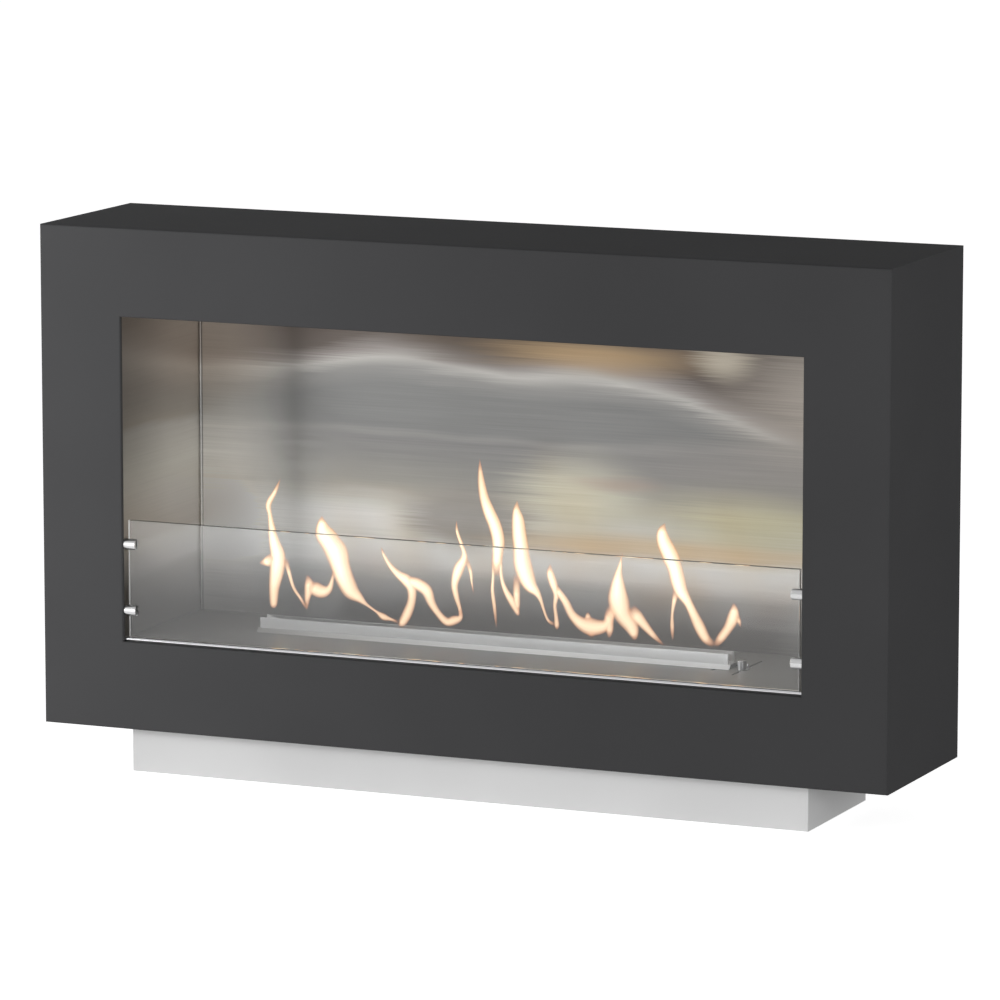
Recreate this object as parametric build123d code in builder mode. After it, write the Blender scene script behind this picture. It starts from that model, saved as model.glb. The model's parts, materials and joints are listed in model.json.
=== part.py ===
from build123d import *
import math
import os

# A free-standing flueless fireplace. Liquid fuel in a closed tank burns along
# one open slot, behind a low glass screen. The origin is the middle of the
# plinth's underside, X runs along the front, the front faces -Y and Z is up.
# All sizes are in millimetres.

os.makedirs("parts", exist_ok=True)

# Casing: four folded members, mitred round the opening
casing_width = 1250.0
casing_height = 700.0
casing_depth = 280.0
frame_band = 123.0
casing_sheet = 2.0
casing_bend = 2.5
opening_return = 5.4
rear_return = 20.0
corner_angle_leg = 30.0
corner_angle_sheet = 3.0
corner_angle_length = 230.0

# Plinth
plinth_width = 1006.0
plinth_depth = 222.0
plinth_height = 65.0
plinth_sheet = 2.0
plinth_flange = 25.0
plinth_lip = 12.0
plinth_corner = 1.0
plinth_bolt_inset = 60.0

# Back panel
back_sheet = 1.5
back_panel_gap = 2.0
vent_length = 60.0
vent_height = 6.0
vent_pitch = 80.0
vents_per_row = 12
vent_row_inset = 62.0

# Firebox liner, floor and ceiling
liner_sheet = 1.5
liner_corner = 3.0
liner_flange_bend = 2.0
wall_setback = 1.4
rear_cavity = 30.0
floor_rise = 4.7
ceiling_rise = 0.7
liner_flange = 21.6
liner_skirt = 21.7
panel_gap = 0.2
corner_relief = 6.0

# Front edge of the floor, and the rod that lies in it
rod_diameter = 6.0
rod_setback = 0.6
rod_groove = 1.8
ledge_drop = 5.2
rest_gap = 0.3

# Glass screen and its four holders
glass_thickness = 6.0
glass_height = 164.0
glass_side_gap = 7.0
glass_edge = 0.6
glass_setback = 5.4
holder_diameter = 16.0
holder_reach = 18.6
holder_neck_diameter = 10.0
holder_neck = 1.7
holder_chamfer = 0.8
holder_slot_gap = 0.3
holder_slot_end = 0.7
holder_heights = {"lower": 38.6, "upper": 131.3}

# Burner lips above the floor
slot_centre = -3.0
slot_width = 19.4
slot_end_margin = 162.0
lip_sheet = 1.5
lip_overhang = 10.2
lip_height = 20.6
foot_rise = 5.8
foot_run = 5.8
foot_overhang = 3.1

# Deck, tank and tray below the floor
deck_sheet = 1.5
deck_front_margin = 6.2
deck_rear_reach = 71.0
deck_left_margin = 22.0
deck_right_margin = 19.0
tank_sheet = 1.5
tank_margin = 6.0
tank_depth = 114.0
tank_height = 90.4
tank_corner = 6.0
pad_height = 50.0
pad_gap = 0.5
tray_end_inset = 11.0
tray_depth = 144.0
tray_height = 15.0
tray_sheet = 1.5
drain_inset = 7.0
drain_width = 5.0
drain_front = 20.3
drain_length = 15.0

# Shutter: a plate between floor and deck, moved by a pin through the floor
shutter_sheet = 1.5
shutter_setback = 17.5
shutter_travel_front = 27.0
shutter_travel_rear = 52.0
shutter_front_gap = 0.8
shutter_side_gap = 0.3
shutter_lift = 0.3
shutter_headroom = 0.5
shutter_overlap = 3.3
arm_width = 16.0
arm_tail = 2.5
pin_slot_offset = 31.0
pin_slot_end_gap = 1.0
pin_slot_width = 3.2
tongue_width = 2.6
tongue_length = 30.0
tongue_front = -24.5
foot_plate_sheet = 0.8
foot_plate_gap = 0.3
foot_plate_nose = 3.0
pull_pin_y = -16.5
pull_pin_diameter = 12.0
pull_pin_height = 14.0
pull_pin_chamfer = 0.6
guide_pin_offset = (4.0, 12.8)
guide_pin_diameter = 4.0
guide_pin_height = 7.5
guide_pin_chamfer = 0.4
spacer_width = 12.0

# Insulation and supports
rear_board = 20.0
rear_board_inset = 8.0
top_board = 25.0
top_board_inset = 6.0
top_board_front = 16.0
support_inset = 38.4
support_leg = 20.0
support_sheet = 2.0
support_length = 195.0

# Gasket between the frame and the liner's flanges
gasket_inset = 4.0
gasket_width = 16.0

# Fasteners
stud_diameter = 5.0
stud_length = 16.0
stud_hole = 5.4
stud_nut_flats = 8.0
stud_nut_height = 4.0
stud_inset = 12.0
side_stud_count = 4
long_stud_count = 5
deck_end_studs = 3
deck_long_studs = 3
deck_stud_diameter = 4.0
deck_stud_length = 12.0
deck_stud_hole = 4.4
deck_nut_flats = 7.0
deck_nut_height = 3.2
rivet_diameter = 4.0
rivet_hole = 4.2
rivet_head_diameter = 8.0
rivet_head_height = 1.2
rivet_tail = 1.0
rivet_drop = 11.0
side_wall_rivets = 3
rear_wall_rivets = 5
back_screw_diameter = 4.0
back_screw_head = 8.0
back_screw_length = 12.0
back_screw_gap = 0.2
back_screw_inset = 12.0
back_side_screws = 3
back_long_screws = 5
holder_screw_diameter = 4.0
holder_screw_hole = 4.4
holder_screw_head_diameter = 7.0
holder_screw_head = 2.6
holder_screw_reach = 5.1
plinth_bolt_diameter = 8.0
plinth_bolt_hole = 9.0
plinth_bolt_flats = 13.0
plinth_bolt_head = 5.3
plinth_bolt_length = 17.0
plinth_nut_height = 6.5
thread_gap = 0.05

# Places worked out from the sizes above
casing_bottom = plinth_height
casing_top = casing_bottom + casing_height
casing_front = -casing_depth / 2
casing_back = casing_depth / 2
inner_half = casing_width / 2 - casing_sheet
inner_bottom = casing_bottom + casing_sheet
inner_top = casing_top - casing_sheet
opening_half = casing_width / 2 - frame_band
opening_bottom = casing_bottom + frame_band
opening_top = casing_top - frame_band
opening_height = opening_top - opening_bottom

wall_x = opening_half + wall_setback
liner_front = casing_front + opening_return
liner_back = casing_back - rear_cavity
floor_top = opening_bottom + floor_rise
floor_under = floor_top - liner_sheet
ceiling_under = opening_top + ceiling_rise
liner_bottom = floor_top - liner_skirt
liner_top = ceiling_under + liner_skirt
panel_half = wall_x - panel_gap
panel_back = liner_back - panel_gap

ledge_top = floor_top - ledge_drop
rod_y = liner_front + rod_setback + rod_diameter / 2
rod_z = ledge_top + rest_gap + rod_diameter / 2
groove_y = rod_y + rod_diameter / 2 + rod_groove

glass_y = liner_front + glass_setback
glass_bottom = rod_z + rod_diameter / 2 + rest_gap
glass_half = wall_x - glass_side_gap

slot_front = slot_centre - slot_width / 2
slot_rear = slot_centre + slot_width / 2
slot_length = 2 * (opening_half - slot_end_margin)
lip_length = slot_length + 2 * lip_overhang
foot_length = lip_length + 2 * foot_overhang
drain_x = slot_length / 2 - drain_inset
pin_slot_x = slot_length / 2 + pin_slot_offset

shutter_bottom = floor_under - shutter_headroom - shutter_sheet
deck_top = shutter_bottom - shutter_lift
deck_under = deck_top - deck_sheet
deck_front = groove_y + deck_front_margin
deck_back = slot_centre + deck_rear_reach
deck_left = -slot_length / 2 - deck_left_margin
deck_right = pin_slot_x + deck_right_margin
tank_length = slot_length + 2 * tank_margin
tray_length = tank_length - 2 * tray_end_inset
support_x = wall_x - support_inset
shutter_left = -slot_length / 2 - shutter_overlap
arm_right = pin_slot_x + arm_width / 2
shutter_rear = slot_front - shutter_setback
shutter_front = deck_front + spacer_width + shutter_front_gap + shutter_travel_front
spacer_height = floor_under - deck_top
guide_left = shutter_left - shutter_side_gap
guide_right = arm_right + shutter_side_gap
tongue_rear = tongue_front + tongue_length
pin_slot_front = tongue_front - shutter_travel_front - pin_slot_end_gap
pin_slot_rear = tongue_rear + shutter_travel_rear + pin_slot_end_gap
foot_plate_bottom = floor_top + foot_plate_gap
foot_plate_top = foot_plate_bottom + foot_plate_sheet


def save(piece, label):
    """Name a finished piece and write it to its own file."""
    piece.part.label = label
    export_step(piece.part, f"parts/{label}.step")


def evenly(count, span):
    """Centres of equal stretches of a span about zero."""
    return [span * ((index + 0.5) / count - 0.5) for index in range(count)]


def bar(x_range, y_range, z_range, mode=Mode.ADD):
    """A rectangular piece of the current part between two limits each way."""
    centre = (sum(x_range) / 2, sum(y_range) / 2)
    with BuildSketch(Plane.XY.offset(min(z_range))) as section:
        with Locations(centre):
            Rectangle(abs(x_range[1] - x_range[0]), abs(y_range[1] - y_range[0]))
    extrude(section.sketch, amount=abs(z_range[1] - z_range[0]), mode=mode)


def rods(origins, direction, radius, length, mode=Mode.ADD):
    """Round bars or holes of the current part, all in one direction."""
    ends = [Plane(origin=origin, z_dir=direction) for origin in origins]
    with BuildSketch(*ends) as section:
        Circle(radius)
    extrude(section.sketch, amount=length, mode=mode)


def hexagons(origins, direction, across_flats, length, bore=0.0):
    """Hexagonal heads of the current part, or nuts where there is a bore."""
    ends = [Plane(origin=origin, z_dir=direction) for origin in origins]
    with BuildSketch(*ends) as section:
        RegularPolygon(across_flats / 2, 6, major_radius=False)
        if bore:
            Circle(bore / 2, mode=Mode.SUBTRACT)
    extrude(section.sketch, amount=length)


# Where the fasteners go
def frame_stud_places():
    """Studs round the opening: x and z of each."""
    side_x = opening_half + stud_inset
    middle = (opening_bottom + opening_top) / 2
    places = []
    for x in (-side_x, side_x):
        places += [(x, middle + dz) for dz in evenly(side_stud_count, opening_height)]
    for z in (opening_bottom - stud_inset, opening_top + stud_inset):
        places += [(dx, z) for dx in evenly(long_stud_count, 2 * opening_half)]
    return places


def back_screw_places():
    """Screws round the back panel: x and z of each."""
    side_x = casing_width / 2 - back_screw_inset
    middle = (casing_bottom + casing_top) / 2
    places = []
    for x in (-side_x, side_x):
        places += [(x, middle + dz) for dz in evenly(back_side_screws, casing_height)]
    for z in (casing_bottom + back_screw_inset, casing_top - back_screw_inset):
        places += [(dx, z) for dx in evenly(back_long_screws, casing_width)]
    return places


def liner_rivet_rows(lift):
    """Rivets that join the liner to floor and ceiling: for each wall, the
    direction inwards and the points that lie the given height off its face."""
    face_x = wall_x + liner_sheet + lift
    face_y = liner_back + liner_sheet + lift
    middle = (liner_back + groove_y) / 2
    levels = (floor_top - rivet_drop, ceiling_under + rivet_drop)
    side_y = evenly(side_wall_rivets, liner_back - groove_y)
    side = [(middle + dy, z) for z in levels for dy in side_y]
    rear = [(x, face_y, z) for z in levels for x in evenly(rear_wall_rivets, 2 * wall_x)]
    return [
        ((1, 0, 0), [(-face_x, y, z) for y, z in side]),
        ((-1, 0, 0), [(face_x, y, z) for y, z in side]),
        ((0, -1, 0), rear),
    ]


def deck_stud_places():
    """Studs that hang the deck from the floor: x and y of each."""
    side_y = evenly(deck_end_studs, deck_back - deck_front)
    middle = (deck_front + deck_back) / 2
    left_x = (deck_left + guide_left) / 2
    right_x = (guide_right + deck_right) / 2
    places = [(x, middle + dy) for x in (left_x, right_x) for dy in side_y]
    for y in (deck_front + spacer_width / 2, deck_back - spacer_width / 2):
        places += [(x, y) for x in evenly(deck_long_studs, slot_length)]
    return places


def plinth_bolt_places():
    """Bolts between plinth and casing: x and y of each."""
    bolt_x = plinth_width / 2 - plinth_bolt_inset
    bolt_y = plinth_depth / 2 - plinth_sheet - plinth_flange / 2
    return [(x, y) for x in (-bolt_x, bolt_x) for y in (-bolt_y, bolt_y)]


# Casing
def build_casing_member(label, origin, along, length, holes):
    """One folded side of the casing. Its section runs from the opening's edge
    across the front band and the outer panel to the rear return."""
    section = Plane(origin=origin, x_dir=(0, 1, 0), z_dir=along)
    inward = section.y_dir
    with BuildPart() as member:
        with BuildSketch(section):
            with BuildLine():
                FilletPolyline(
                    (liner_front, frame_band),
                    (casing_front, frame_band),
                    (casing_front, 0),
                    (casing_back, 0),
                    (casing_back, rear_return),
                    radius=casing_bend,
                )
                offset(amount=casing_sheet, side=Side.LEFT)
            make_face()
        extrude(amount=length / 2, both=True)
        for end in (section.z_dir, -section.z_dir):
            corner = section.origin + end * (length / 2)
            split(bisect_by=Plane(origin=corner, z_dir=end + inward), keep=Keep.BOTTOM)
        with Locations(*[Plane(origin=(x, casing_back, z), z_dir=(0, 1, 0)) for x, z in back_screw_places()]):
            CounterSinkHole(
                back_screw_diameter / 2 + back_screw_gap,
                back_screw_head / 2 + back_screw_gap / 2,
                depth=2 * casing_sheet,
                counter_sink_angle=90,
            )
        if holes:
            starts = [(x, y, casing_bottom) for x, y in holes]
            rods(starts, (0, 0, 1), plinth_bolt_hole / 2, casing_sheet, Mode.SUBTRACT)
    save(member, label)


def build_casing():
    half = casing_width / 2
    middle = (casing_bottom + casing_top) / 2
    build_casing_member("casing_top", (0, 0, casing_top), (-1, 0, 0), casing_width, [])
    build_casing_member("casing_bottom", (0, 0, casing_bottom), (1, 0, 0), casing_width, plinth_bolt_places())
    build_casing_member("casing_left", (-half, 0, middle), (0, 0, -1), casing_height, [])
    build_casing_member("casing_right", (half, 0, middle), (0, 0, 1), casing_height, [])


def build_corner_angles():
    """Angle irons that tie the mitred members together inside each corner."""
    leg = corner_angle_leg
    with BuildPart() as angles:
        for side in (-1, 1):
            for corner_z, up in ((inner_bottom, 1), (inner_top, -1)):
                with BuildSketch(Plane.XZ.offset(-corner_angle_length / 2)):
                    with BuildLine():
                        Polyline(
                            (side * inner_half, corner_z),
                            (side * (inner_half - leg), corner_z),
                            (side * (inner_half - leg), corner_z + up * corner_angle_sheet),
                            (side * (inner_half - corner_angle_sheet), corner_z + up * corner_angle_sheet),
                            (side * (inner_half - corner_angle_sheet), corner_z + up * leg),
                            (side * inner_half, corner_z + up * leg),
                            close=True,
                        )
                    make_face()
                extrude(amount=corner_angle_length)
    save(angles, "corner_angles")


def build_back_panel():
    """Flat sheet behind the rear returns, with two rows of vent slots."""
    panel_front = casing_back - casing_sheet - back_sheet
    middle = (casing_bottom + casing_top) / 2
    row_z = casing_height / 2 - vent_row_inset
    with BuildPart() as panel:
        with BuildSketch(Plane(origin=(0, panel_front, middle), x_dir=(1, 0, 0), z_dir=(0, -1, 0))):
            Rectangle(2 * (inner_half - back_panel_gap), casing_height - 2 * (casing_sheet + back_panel_gap))
            with GridLocations(vent_pitch, 2 * row_z, vents_per_row, 2):
                SlotOverall(vent_length, vent_height, mode=Mode.SUBTRACT)
        extrude(amount=-back_sheet)
        starts = [(x, panel_front, z) for x, z in back_screw_places()]
        rods(starts, (0, 1, 0), back_screw_diameter / 2 + back_screw_gap, back_sheet, Mode.SUBTRACT)
    save(panel, "back_panel")


def build_back_screws():
    """Countersunk screws, flush with the rear returns."""
    shank = back_screw_diameter / 2
    head = back_screw_head / 2
    head_depth = head - shank
    shank_starts = [(x, casing_back - head_depth, z) for x, z in back_screw_places()]
    with BuildPart() as screws:
        with Locations(*[Plane(origin=(x, casing_back, z), z_dir=(0, -1, 0)) for x, z in back_screw_places()]):
            Cone(head, shank, head_depth, align=(Align.CENTER, Align.CENTER, Align.MIN))
        rods(shank_starts, (0, -1, 0), shank, back_screw_length - head_depth)
    save(screws, "back_panel_screws")


# Plinth
def build_plinth():
    """Closed skirt with a flange under the casing and a lip on the floor."""
    inner_width = plinth_width - 2 * plinth_sheet
    inner_depth = plinth_depth - 2 * plinth_sheet
    with BuildPart() as plinth:
        with BuildSketch():
            Rectangle(plinth_width, plinth_depth)
        extrude(amount=plinth_height)
        fillet(plinth.edges().filter_by(Axis.Z), plinth_corner)
        with BuildSketch(Plane.XY.offset(plinth_sheet)):
            Rectangle(inner_width, inner_depth)
        extrude(amount=plinth_height - 2 * plinth_sheet, mode=Mode.SUBTRACT)
        with BuildSketch(Plane.XY.offset(plinth_height - plinth_sheet)):
            Rectangle(inner_width - 2 * plinth_flange, inner_depth - 2 * plinth_flange)
        extrude(amount=plinth_sheet, mode=Mode.SUBTRACT)
        with BuildSketch():
            Rectangle(inner_width - 2 * plinth_lip, inner_depth - 2 * plinth_lip)
        extrude(amount=plinth_sheet, mode=Mode.SUBTRACT)
        flange_under = [(x, y, plinth_height - plinth_sheet) for x, y in plinth_bolt_places()]
        rods(flange_under, (0, 0, 1), plinth_bolt_hole / 2, plinth_sheet, Mode.SUBTRACT)
    save(plinth, "plinth")

    seats = [(x, y, inner_bottom) for x, y in plinth_bolt_places()]
    with BuildPart() as bolts:
        hexagons(seats, (0, 0, 1), plinth_bolt_flats, plinth_bolt_head)
        rods(seats, (0, 0, -1), plinth_bolt_diameter / 2, plinth_bolt_length)
    save(bolts, "plinth_bolts")

    with BuildPart() as nuts:
        bore = plinth_bolt_diameter + 2 * thread_gap
        hexagons(flange_under, (0, 0, -1), plinth_bolt_flats, plinth_nut_height, bore)
    save(nuts, "plinth_nuts")


# Firebox
def cut_rivet_holes():
    """Open the rivet holes in the current part."""
    for direction, starts in liner_rivet_rows(0):
        rods(starts, direction, rivet_hole / 2, 2 * liner_sheet + panel_gap, Mode.SUBTRACT)


def cut_stud_holes(first_y, thickness):
    """Open the holes for the studs round the opening in the current part."""
    starts = [(x, first_y, z) for x, z in frame_stud_places()]
    rods(starts, (0, 1, 0), stud_hole / 2, thickness, Mode.SUBTRACT)


def build_firebox_liner():
    """Side walls and back folded from one sheet, with flanges behind the frame."""
    flange_x = wall_x + liner_flange
    with BuildPart() as liner:
        with BuildSketch(Plane.XY.offset(liner_bottom)):
            with BuildLine():
                FilletPolyline(
                    (-flange_x, liner_front),
                    (-wall_x, liner_front),
                    (-wall_x, liner_back),
                    (wall_x, liner_back),
                    (wall_x, liner_front),
                    (flange_x, liner_front),
                    radius=[liner_flange_bend, liner_corner, liner_corner, liner_flange_bend],
                )
                offset(amount=liner_sheet, side=Side.LEFT)
            make_face()
        extrude(amount=liner_top - liner_bottom)
        cut_rivet_holes()
        cut_stud_holes(liner_front, liner_sheet)
        for side in (-1, 1):
            starts = [(side * wall_x, glass_y, floor_top + height) for height in holder_heights.values()]
            rods(starts, (side, 0, 0), holder_screw_hole / 2, liner_sheet, Mode.SUBTRACT)
    save(liner, "firebox_liner")


def build_firebox_floor():
    """Floor sheet. Its front edge steps down into a ledge for the rod."""
    skirt_edge = liner_bottom
    rear_x = panel_half - corner_relief
    side_y = (groove_y + corner_relief, panel_back - corner_relief)
    with BuildPart() as floor:
        with BuildSketch(Plane.YZ):
            with BuildLine():
                Polyline(
                    (panel_back, floor_top),
                    (groove_y, floor_top),
                    (groove_y, ledge_top),
                    (liner_front, ledge_top),
                    (liner_front, skirt_edge),
                )
                offset(amount=liner_sheet, side=Side.LEFT)
            make_face()
        extrude(amount=panel_half, both=True)
        rear_edges = floor.edges().filter_by(Axis.Z).group_by(Axis.Y)[-1]
        fillet(rear_edges, liner_corner + panel_gap)
        bar((-rear_x, rear_x), (panel_back - liner_sheet, panel_back), (skirt_edge, floor_under))
        for side in (-1, 1):
            bar((side * panel_half, side * (panel_half - liner_sheet)), side_y, (skirt_edge, floor_under))
        bar(
            (-slot_length / 2, slot_length / 2),
            (slot_front, slot_rear),
            (floor_under, floor_top),
            Mode.SUBTRACT,
        )
        with BuildSketch(Plane.XY.offset(floor_top)):
            with Locations((pin_slot_x, (pin_slot_front + pin_slot_rear) / 2)):
                SlotOverall(pin_slot_rear - pin_slot_front, pin_slot_width, rotation=90)
            with Locations((drain_x, slot_front - drain_front + drain_length / 2)):
                SlotOverall(drain_length, drain_width, rotation=90)
        extrude(amount=-liner_sheet, mode=Mode.SUBTRACT)
        cut_rivet_holes()
        cut_stud_holes(liner_front, liner_sheet)
    save(floor, "firebox_floor")


def build_firebox_ceiling():
    """Ceiling sheet with its edges turned up."""
    rear_x = panel_half - corner_relief
    side_y = (liner_front + corner_relief, panel_back - corner_relief)
    ceiling_top = ceiling_under + liner_sheet
    with BuildPart() as ceiling:
        with BuildSketch(Plane.YZ):
            with BuildLine():
                Polyline(
                    (panel_back, ceiling_under),
                    (liner_front, ceiling_under),
                    (liner_front, liner_top),
                )
                offset(amount=liner_sheet, side=Side.RIGHT)
            make_face()
        extrude(amount=panel_half, both=True)
        rear_edges = ceiling.edges().filter_by(Axis.Z).group_by(Axis.Y)[-1]
        fillet(rear_edges, liner_corner + panel_gap)
        bar((-rear_x, rear_x), (panel_back - liner_sheet, panel_back), (ceiling_top, liner_top))
        for side in (-1, 1):
            bar((side * panel_half, side * (panel_half - liner_sheet)), side_y, (ceiling_top, liner_top))
        cut_rivet_holes()
        cut_stud_holes(liner_front, liner_sheet)
    save(ceiling, "firebox_ceiling")


def build_liner_rivets():
    """Blind rivets through liner and panel edges, heads outside."""
    grip = 2 * liner_sheet + panel_gap
    with BuildPart() as rivets:
        for direction, starts in liner_rivet_rows(rivet_head_height):
            rods(starts, direction, rivet_head_diameter / 2, rivet_head_height)
            rods(starts, direction, rivet_diameter / 2, rivet_head_height + grip + rivet_tail)
    save(rivets, "liner_rivets")


def build_frame_fixings():
    """Gasket, studs and nuts that hold the liner behind the frame."""
    gasket_front = casing_front + casing_sheet
    gasket_thickness = liner_front - gasket_front
    middle = (opening_bottom + opening_top) / 2
    inner_width = 2 * (opening_half + gasket_inset)
    inner_height = opening_height + 2 * gasket_inset
    with BuildPart() as gasket:
        with BuildSketch(Plane(origin=(0, gasket_front, middle), x_dir=(1, 0, 0), z_dir=(0, -1, 0))):
            Rectangle(inner_width + 2 * gasket_width, inner_height + 2 * gasket_width)
            Rectangle(inner_width, inner_height, mode=Mode.SUBTRACT)
        extrude(amount=-gasket_thickness)
        cut_stud_holes(gasket_front, gasket_thickness)
    save(gasket, "opening_gasket")

    with BuildPart() as studs:
        starts = [(x, gasket_front, z) for x, z in frame_stud_places()]
        rods(starts, (0, 1, 0), stud_diameter / 2, stud_length)
    save(studs, "frame_studs")

    with BuildPart() as nuts:
        starts = [(x, liner_front + liner_sheet, z) for x, z in frame_stud_places()]
        hexagons(starts, (0, 1, 0), stud_nut_flats, stud_nut_height, stud_diameter + 2 * thread_gap)
    save(nuts, "frame_nuts")


def build_supports_and_boards():
    """Channels under the floor, and the boards that keep heat off the casing."""
    support_middle = (liner_front + liner_back) / 2
    support_y = support_middle - support_length / 2
    for side, name in ((-1, "left"), (1, "right")):
        web = side * (support_x - support_leg / 2)
        edge = side * (support_x + support_leg / 2)
        with BuildPart() as support:
            with BuildSketch(Plane.XZ.offset(-support_y)):
                with BuildLine():
                    Polyline((edge, inner_bottom), (web, inner_bottom), (web, floor_under), (edge, floor_under))
                    offset(amount=support_sheet, side=Side.RIGHT if side > 0 else Side.LEFT)
                make_face()
            extrude(amount=-support_length)
        save(support, f"floor_support_{name}")

    board_front = liner_back + liner_sheet
    board_x = wall_x - rear_board_inset
    with BuildPart() as rear:
        bar((-board_x, board_x), (board_front, board_front + rear_board), (floor_top, ceiling_under))
    save(rear, "rear_insulation_board")

    top_x = panel_half - top_board_inset
    top_z = ceiling_under + liner_sheet
    with BuildPart() as top:
        bar(
            (-top_x, top_x),
            (liner_front + top_board_front, panel_back - top_board_inset),
            (top_z, top_z + top_board),
        )
    save(top, "top_insulation_board")


# Rod, glass and holders
def build_front_rod():
    """Polished rod along the foot of the glass, from wall to wall."""
    with BuildPart() as rod:
        rods([(-wall_x, rod_y, rod_z)], (1, 0, 0), rod_diameter / 2, 2 * wall_x)
    save(rod, "front_rod")


def build_glass():
    """Toughened glass screen with ground and polished edges."""
    with BuildPart() as glass:
        bar(
            (-glass_half, glass_half),
            (glass_y - glass_thickness / 2, glass_y + glass_thickness / 2),
            (glass_bottom, glass_bottom + glass_height),
        )
        chamfer(glass.edges().group_by(SortBy.LENGTH)[1:], glass_edge)
    save(glass, "glass_screen")


def build_holder(side, height, label):
    """Round holder on a side wall, slotted for the edge of the glass."""
    z = floor_top + height
    outwards = (side, 0, 0)
    body_end = wall_x - holder_neck
    tip = wall_x - holder_reach
    slot_end = glass_half + holder_slot_end
    with BuildPart() as holder:
        rods([(side * tip, glass_y, z)], outwards, holder_diameter / 2, body_end - tip)
        chamfer(holder.faces().sort_by(Axis.X)[0 if side > 0 else -1].edges(), holder_chamfer)
        rods([(side * body_end, glass_y, z)], outwards, holder_neck_diameter / 2, holder_neck)
        bar(
            (side * tip, side * slot_end),
            (
                glass_y - glass_thickness / 2 - holder_slot_gap,
                glass_y + glass_thickness / 2 + holder_slot_gap,
            ),
            (z - holder_diameter, z + holder_diameter),
            Mode.SUBTRACT,
        )
        tapped_radius = holder_screw_diameter / 2 + thread_gap
        rods([(side * wall_x, glass_y, z)], (-side, 0, 0), tapped_radius, holder_screw_reach, Mode.SUBTRACT)
    save(holder, label)


def build_holders():
    for level, height in holder_heights.items():
        build_holder(-1, height, f"glass_holder_{level}_left")
        build_holder(1, height, f"glass_holder_{level}_right")

    seat_x = wall_x + liner_sheet
    with BuildPart() as screws:
        for side in (-1, 1):
            seats = [(side * seat_x, glass_y, floor_top + height) for height in holder_heights.values()]
            rods(seats, (side, 0, 0), holder_screw_head_diameter / 2, holder_screw_head)
            rods(seats, (-side, 0, 0), holder_screw_diameter / 2, liner_sheet + holder_screw_reach)
    save(screws, "glass_holder_screws")


# Burner
def build_lip(facing, label):
    """Upright lip of the burner slot, with a sloping foot on the floor.
    facing is -1 for the front lip and 1 for the rear one."""
    inner = slot_centre + facing * slot_width / 2
    outer = inner + facing * lip_sheet
    foot_top = floor_top + foot_rise
    toe = outer + facing * foot_run
    slant = lip_sheet * math.sqrt(2)
    with BuildPart() as lip:
        with BuildSketch(Plane.YZ):
            with BuildLine():
                Polyline(
                    (toe, floor_top),
                    (outer, foot_top),
                    (inner, foot_top),
                    (inner, foot_top + lip_sheet - slant),
                    (toe - facing * slant, floor_top),
                    close=True,
                )
            make_face()
        extrude(amount=foot_length / 2, both=True)
        bar((-lip_length / 2, lip_length / 2), (inner, outer), (foot_top, floor_top + lip_height))
    save(lip, label)


def build_end_cap(side, label):
    """Folded cap that closes the low channel at one end of the slot."""
    inner = side * slot_length / 2
    outer = side * foot_length / 2
    cap_top = floor_top + foot_rise
    with BuildPart() as cap:
        with BuildSketch(Plane.XZ.offset(-slot_rear)):
            with BuildLine():
                Polyline((inner, floor_top), (inner, cap_top), (outer, cap_top), (outer, floor_top))
                offset(amount=lip_sheet, side=Side.RIGHT if side > 0 else Side.LEFT)
            make_face()
        extrude(amount=slot_width)
    save(cap, label)


def build_deck():
    """Plate on top of the tank, on which the shutter slides."""
    with BuildPart() as deck:
        bar((deck_left, deck_right), (deck_front, deck_back), (deck_under, deck_top))
        bar(
            (-slot_length / 2, slot_length / 2),
            (slot_front, slot_rear),
            (deck_under, deck_top),
            Mode.SUBTRACT,
        )
        with BuildSketch(Plane.XY.offset(deck_top)):
            with Locations((drain_x, slot_front - drain_front + drain_length / 2)):
                SlotOverall(drain_length, drain_width, rotation=90)
        extrude(amount=-deck_sheet, mode=Mode.SUBTRACT)
        starts = [(x, y, deck_under) for x, y in deck_stud_places()]
        rods(starts, (0, 0, 1), deck_stud_hole / 2, deck_sheet, Mode.SUBTRACT)
    save(deck, "burner_deck")


def build_spacer(label, x_range, y_range):
    """Strip that keeps the deck off the floor, drilled for the deck's studs."""
    with BuildPart() as spacer:
        bar(x_range, y_range, (deck_top, floor_under))
        starts = [(x, y, deck_top) for x, y in deck_stud_places()]
        rods(starts, (0, 0, 1), deck_stud_hole / 2, spacer_height, Mode.SUBTRACT)
    save(spacer, label)


def build_spacers():
    full_depth = (deck_front, deck_back)
    build_spacer("shutter_guide_left", (deck_left, guide_left), full_depth)
    build_spacer("shutter_guide_right", (guide_right, deck_right), full_depth)
    front_depth = (deck_front, deck_front + spacer_width)
    build_spacer("deck_spacer_front", (guide_left, guide_right), front_depth)
    rear_right = pin_slot_x - arm_width
    build_spacer("deck_spacer_rear", (guide_left, rear_right), (deck_back - spacer_width, deck_back))


def build_deck_fixings():
    """Studs welded under the floor, and their nuts below the deck."""
    with BuildPart() as studs:
        starts = [(x, y, floor_under) for x, y in deck_stud_places()]
        rods(starts, (0, 0, -1), deck_stud_diameter / 2, deck_stud_length)
    save(studs, "deck_studs")

    with BuildPart() as nuts:
        starts = [(x, y, deck_under) for x, y in deck_stud_places()]
        hexagons(starts, (0, 0, -1), deck_nut_flats, deck_nut_height, deck_stud_diameter + 2 * thread_gap)
    save(nuts, "deck_nuts")


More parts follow.
